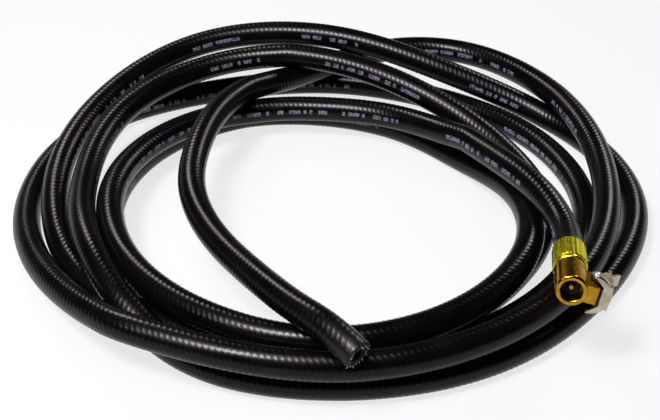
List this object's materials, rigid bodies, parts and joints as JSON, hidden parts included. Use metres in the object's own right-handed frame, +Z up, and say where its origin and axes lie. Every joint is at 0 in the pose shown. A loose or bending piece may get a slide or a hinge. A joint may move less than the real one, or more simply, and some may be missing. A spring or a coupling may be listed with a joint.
{
  "type": "air hose with tyre chuck",
  "caption": "Loosely coiled black rubber air hose, one end cut square and the other crimped to a brass lock-on tyre chuck with a sprung clip.",
  "frame": {"origin": "on the surface the hose lies on, under the middle of the coil", "axes": "+Z up, -Y towards the side where both hose ends lie, +X towards the chuck's side"},
  "size_m": [0.301, 0.277, 0.0459],
  "materials": {
    "hose_rubber": "black rubber with fine slanting ribs, slightly glossy",
    "hose_threads": "frayed grey reinforcement thread",
    "hose_liner": "smooth black rubber",
    "seal_rubber": "matt black rubber",
    "ferrule_brass": "bright greenish yellow brass, crimped",
    "body_brass": "polished amber brass",
    "clip_nickel": "nickel plated stamped steel",
    "pin_steel": "plain steel rivet",
    "spring_steel": "spring steel wire"
  },
  "bodies": {
    "hose": {"hose_coil": "hose_rubber", "hose_cut_run": "hose_rubber", "hose_cut_cover": "hose_rubber", "hose_cut_braid": "hose_threads", "hose_cut_liner": "hose_liner", "hose_chuck_run": "hose_rubber", "hose_neck_cover": "hose_rubber", "hose_neck_braid": "hose_threads", "hose_neck_liner": "hose_liner", "crimp_ferrule": "ferrule_brass", "hose_stem": "ferrule_brass", "chuck_body": "body_brass", "mouth_gasket": "seal_rubber", "pivot_pin": "pin_steel", "poppet_spring": "spring_steel", "lever_spring": "spring_steel"},
    "clip": {"clip_lever": "clip_nickel"},
    "depressor": {"depressor_pin": "body_brass", "poppet_seal": "seal_rubber"}
  },
  "joints": [
    {"name": "clip_hinge", "type": "hinge", "parent": "hose", "child": "clip", "pos_m": [0.10392, -0.09887, 0.03572], "axis": [0.2075, 0.1902, 0.9596], "range_deg": [0, 16], "stiffness_Nm_per_rad": 0.25, "springref_deg": -20.05, "deforming": ["lever_spring"]},
    {"name": "depressor_slide", "type": "slide", "parent": "hose", "child": "depressor", "axis": [0.1591, 0.9613, -0.225], "range_m": [0, 0.002], "stiffness_N_per_m": 600, "springref_m": -0.003, "deforming": ["poppet_spring"]}
  ]
}
